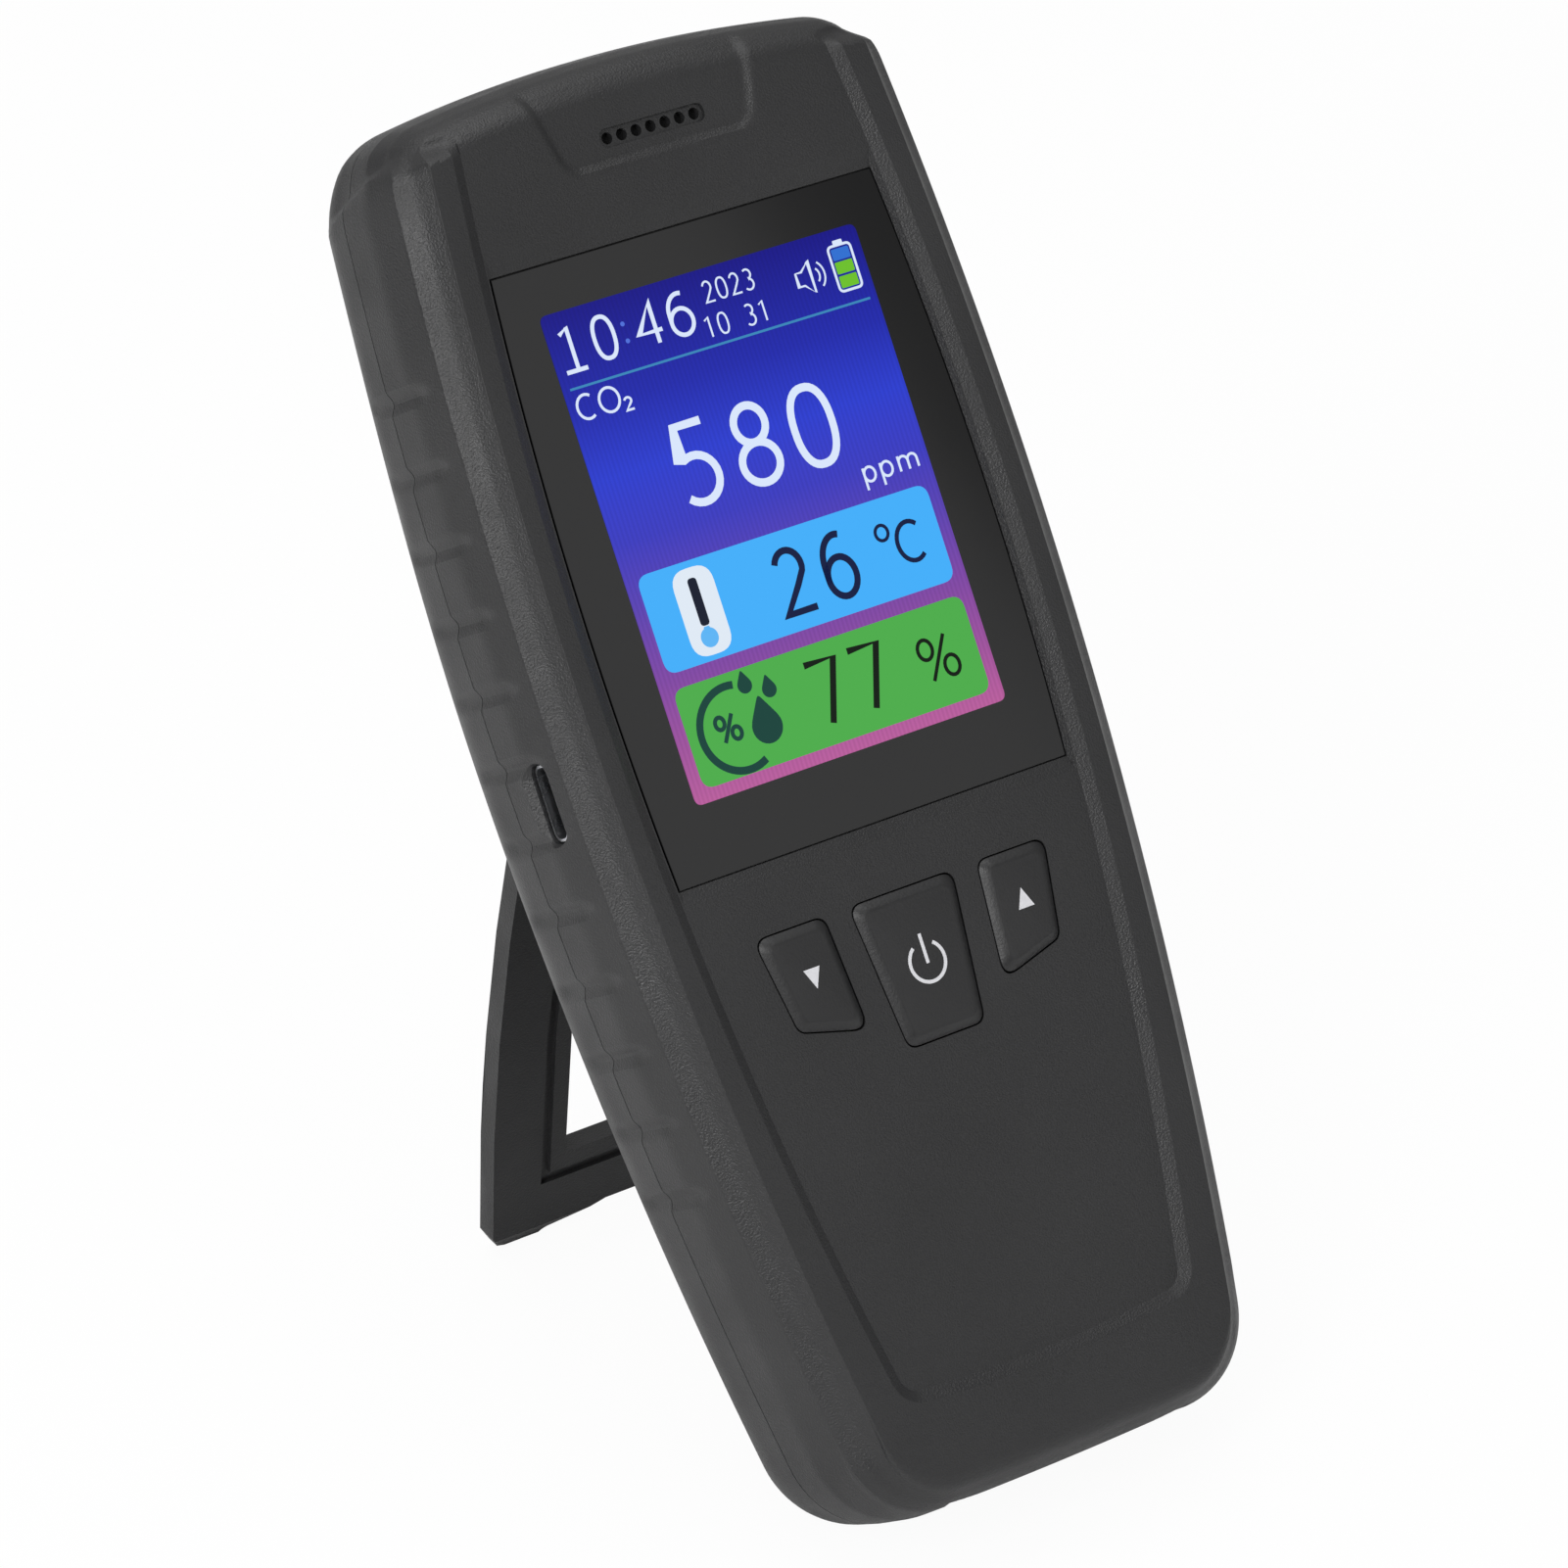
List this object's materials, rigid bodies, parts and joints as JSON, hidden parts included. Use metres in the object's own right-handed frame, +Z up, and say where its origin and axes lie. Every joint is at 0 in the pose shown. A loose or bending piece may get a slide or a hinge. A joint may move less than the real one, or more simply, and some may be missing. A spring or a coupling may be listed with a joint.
{
  "type": "carbon dioxide monitor",
  "caption": "Hand-held indoor air monitor with a colour display, three buttons, ribbed side grips and a folding rear kickstand.",
  "frame": {"origin": "bottom centre of the whole part's box as it stands: the floor under the body's feet and the kickstand's feet", "axes": "+Z up from the floor, +X to the right seen from the display's side, -Y towards the person reading the display; the body leans back about X"},
  "size_m": [0.075, 0.1138, 0.148],
  "materials": {
    "body_plastic": "fine moulded grain, satin black-grey",
    "kickstand_plastic": "fine moulded grain",
    "button_plastic": "smooth satin",
    "lens_glass": "polished, black border print",
    "adhesive": "matt foam",
    "display": "lit colour display",
    "backlight_plastic": "white moulded",
    "flex_film": "amber film",
    "connector_plastic": "natural nylon",
    "steel": "plated",
    "black_screw": "black oxide",
    "circuit_board": "green solder mask",
    "component_black": "moulded epoxy",
    "battery_wrap": "silver wrap",
    "wire_red": "red insulation",
    "wire_black": "black insulation",
    "sensor_brass": "plated",
    "filter_white": "white membrane"
  },
  "bodies": {
    "housing": {"front_shell": "body_plastic", "rear_shell": "body_plastic", "screen_lens": "lens_glass", "lens_adhesive": "adhesive", "battery_foam_tape": "adhesive", "vent_dust_mesh": "adhesive", "lcd_panel": "display", "lcd_backlight_frame": "backlight_plastic", "lcd_flex": "flex_film", "fpc_connector": "connector_plastic", "battery_connector": "connector_plastic", "tact_switches": "steel", "usb_port": "steel", "kickstand_pivot_pins": "steel", "pcb_screws": "steel", "housing_screws": "black_screw", "main_pcb": "circuit_board", "co2_sensor_board": "circuit_board", "pcb_chips": "component_black", "usb_tongue": "component_black", "temp_humidity_sensor": "component_black", "buzzer": "component_black", "battery_cell": "battery_wrap", "battery_lead_red": "wire_red", "battery_lead_black": "wire_black", "co2_sensor_housing": "sensor_brass", "co2_sensor_filter": "filter_white"},
    "kickstand": {"kickstand": "kickstand_plastic"},
    "down_button": {"down_button": "button_plastic", "down_plunger": "connector_plastic"},
    "power_button": {"power_button": "button_plastic", "power_plunger": "connector_plastic"},
    "up_button": {"up_button": "button_plastic", "up_plunger": "connector_plastic"}
  },
  "joints": [
    {"name": "kickstand_hinge", "type": "hinge", "parent": "housing", "child": "kickstand", "pos_m": [0, 0.02368, 0.08517], "axis": [1, 0, 0], "range_deg": [-36.4, 0]},
    {"name": "down_press", "type": "slide", "parent": "housing", "child": "down_button", "axis": [0, 0.8216, -0.5701], "range_m": [0, 0.0003], "stiffness_N_per_m": 1500},
    {"name": "power_press", "type": "slide", "parent": "housing", "child": "power_button", "axis": [0, 0.8216, -0.5701], "range_m": [0, 0.0003], "stiffness_N_per_m": 1500},
    {"name": "up_press", "type": "slide", "parent": "housing", "child": "up_button", "axis": [0, 0.8216, -0.5701], "range_m": [0, 0.0003], "stiffness_N_per_m": 1500}
  ]
}
